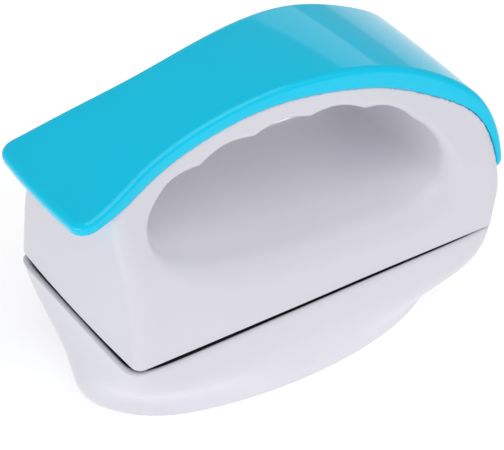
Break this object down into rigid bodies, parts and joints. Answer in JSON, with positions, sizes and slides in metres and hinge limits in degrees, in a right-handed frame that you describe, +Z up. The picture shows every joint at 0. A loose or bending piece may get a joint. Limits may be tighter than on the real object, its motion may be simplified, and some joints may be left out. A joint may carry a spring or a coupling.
{
  "type": "magnetic glass cleaner",
  "caption": "Floating magnetic glass cleaner: a handle with a hand opening and curved grip cover sits on a boat-shaped float, with felt and scrub pads where they meet.",
  "frame": {"origin": "on the ground under the middle of the whole object", "axes": "+Z up, X along the length with the grip cover's lip at -X, Y across the width"},
  "size_m": [0.1395, 0.0684, 0.1002],
  "materials": {
    "shell_white": "semi-gloss moulded plastic",
    "cover_gloss": "high-gloss moulded plastic",
    "plate_dark": "matt moulded plastic",
    "screw_steel": "zinc-plated steel",
    "felt": "pressed felt",
    "scrub_fibre": "coarse non-woven scrubbing fibre",
    "hook_tape": "hook side of hook-and-loop tape",
    "seal_rubber": "soft rubber",
    "magnet_ferrite": "sintered ferrite, ground",
    "yoke_steel": "plated steel plate"
  },
  "bodies": {
    "float_unit": {"hull_shell": "shell_white", "deck_plate": "plate_dark", "deck_seal": "seal_rubber", "hook_strip_1": "hook_tape", "hook_strip_2": "hook_tape", "scrub_pad": "scrub_fibre", "inner_magnet_1": "magnet_ferrite", "inner_magnet_2": "magnet_ferrite", "inner_magnet_3": "magnet_ferrite", "inner_magnet_4": "magnet_ferrite", "inner_yoke_plate_1": "yoke_steel", "inner_yoke_plate_2": "yoke_steel"},
    "handle_unit": {"grip_cover": "cover_gloss", "handle_shell": "shell_white", "base_plate": "plate_dark", "base_screws": "screw_steel", "felt_pad": "felt", "outer_magnet_1": "magnet_ferrite", "outer_magnet_2": "magnet_ferrite", "outer_magnet_3": "magnet_ferrite", "outer_magnet_4": "magnet_ferrite", "outer_yoke_plate_1": "yoke_steel", "outer_yoke_plate_2": "yoke_steel"}
  },
  "joints": [
    {"name": "handle_lift", "type": "slide", "parent": "float_unit", "child": "handle_unit", "axis": [0, 0, 1], "range_m": [0, 0.07]}
  ]
}
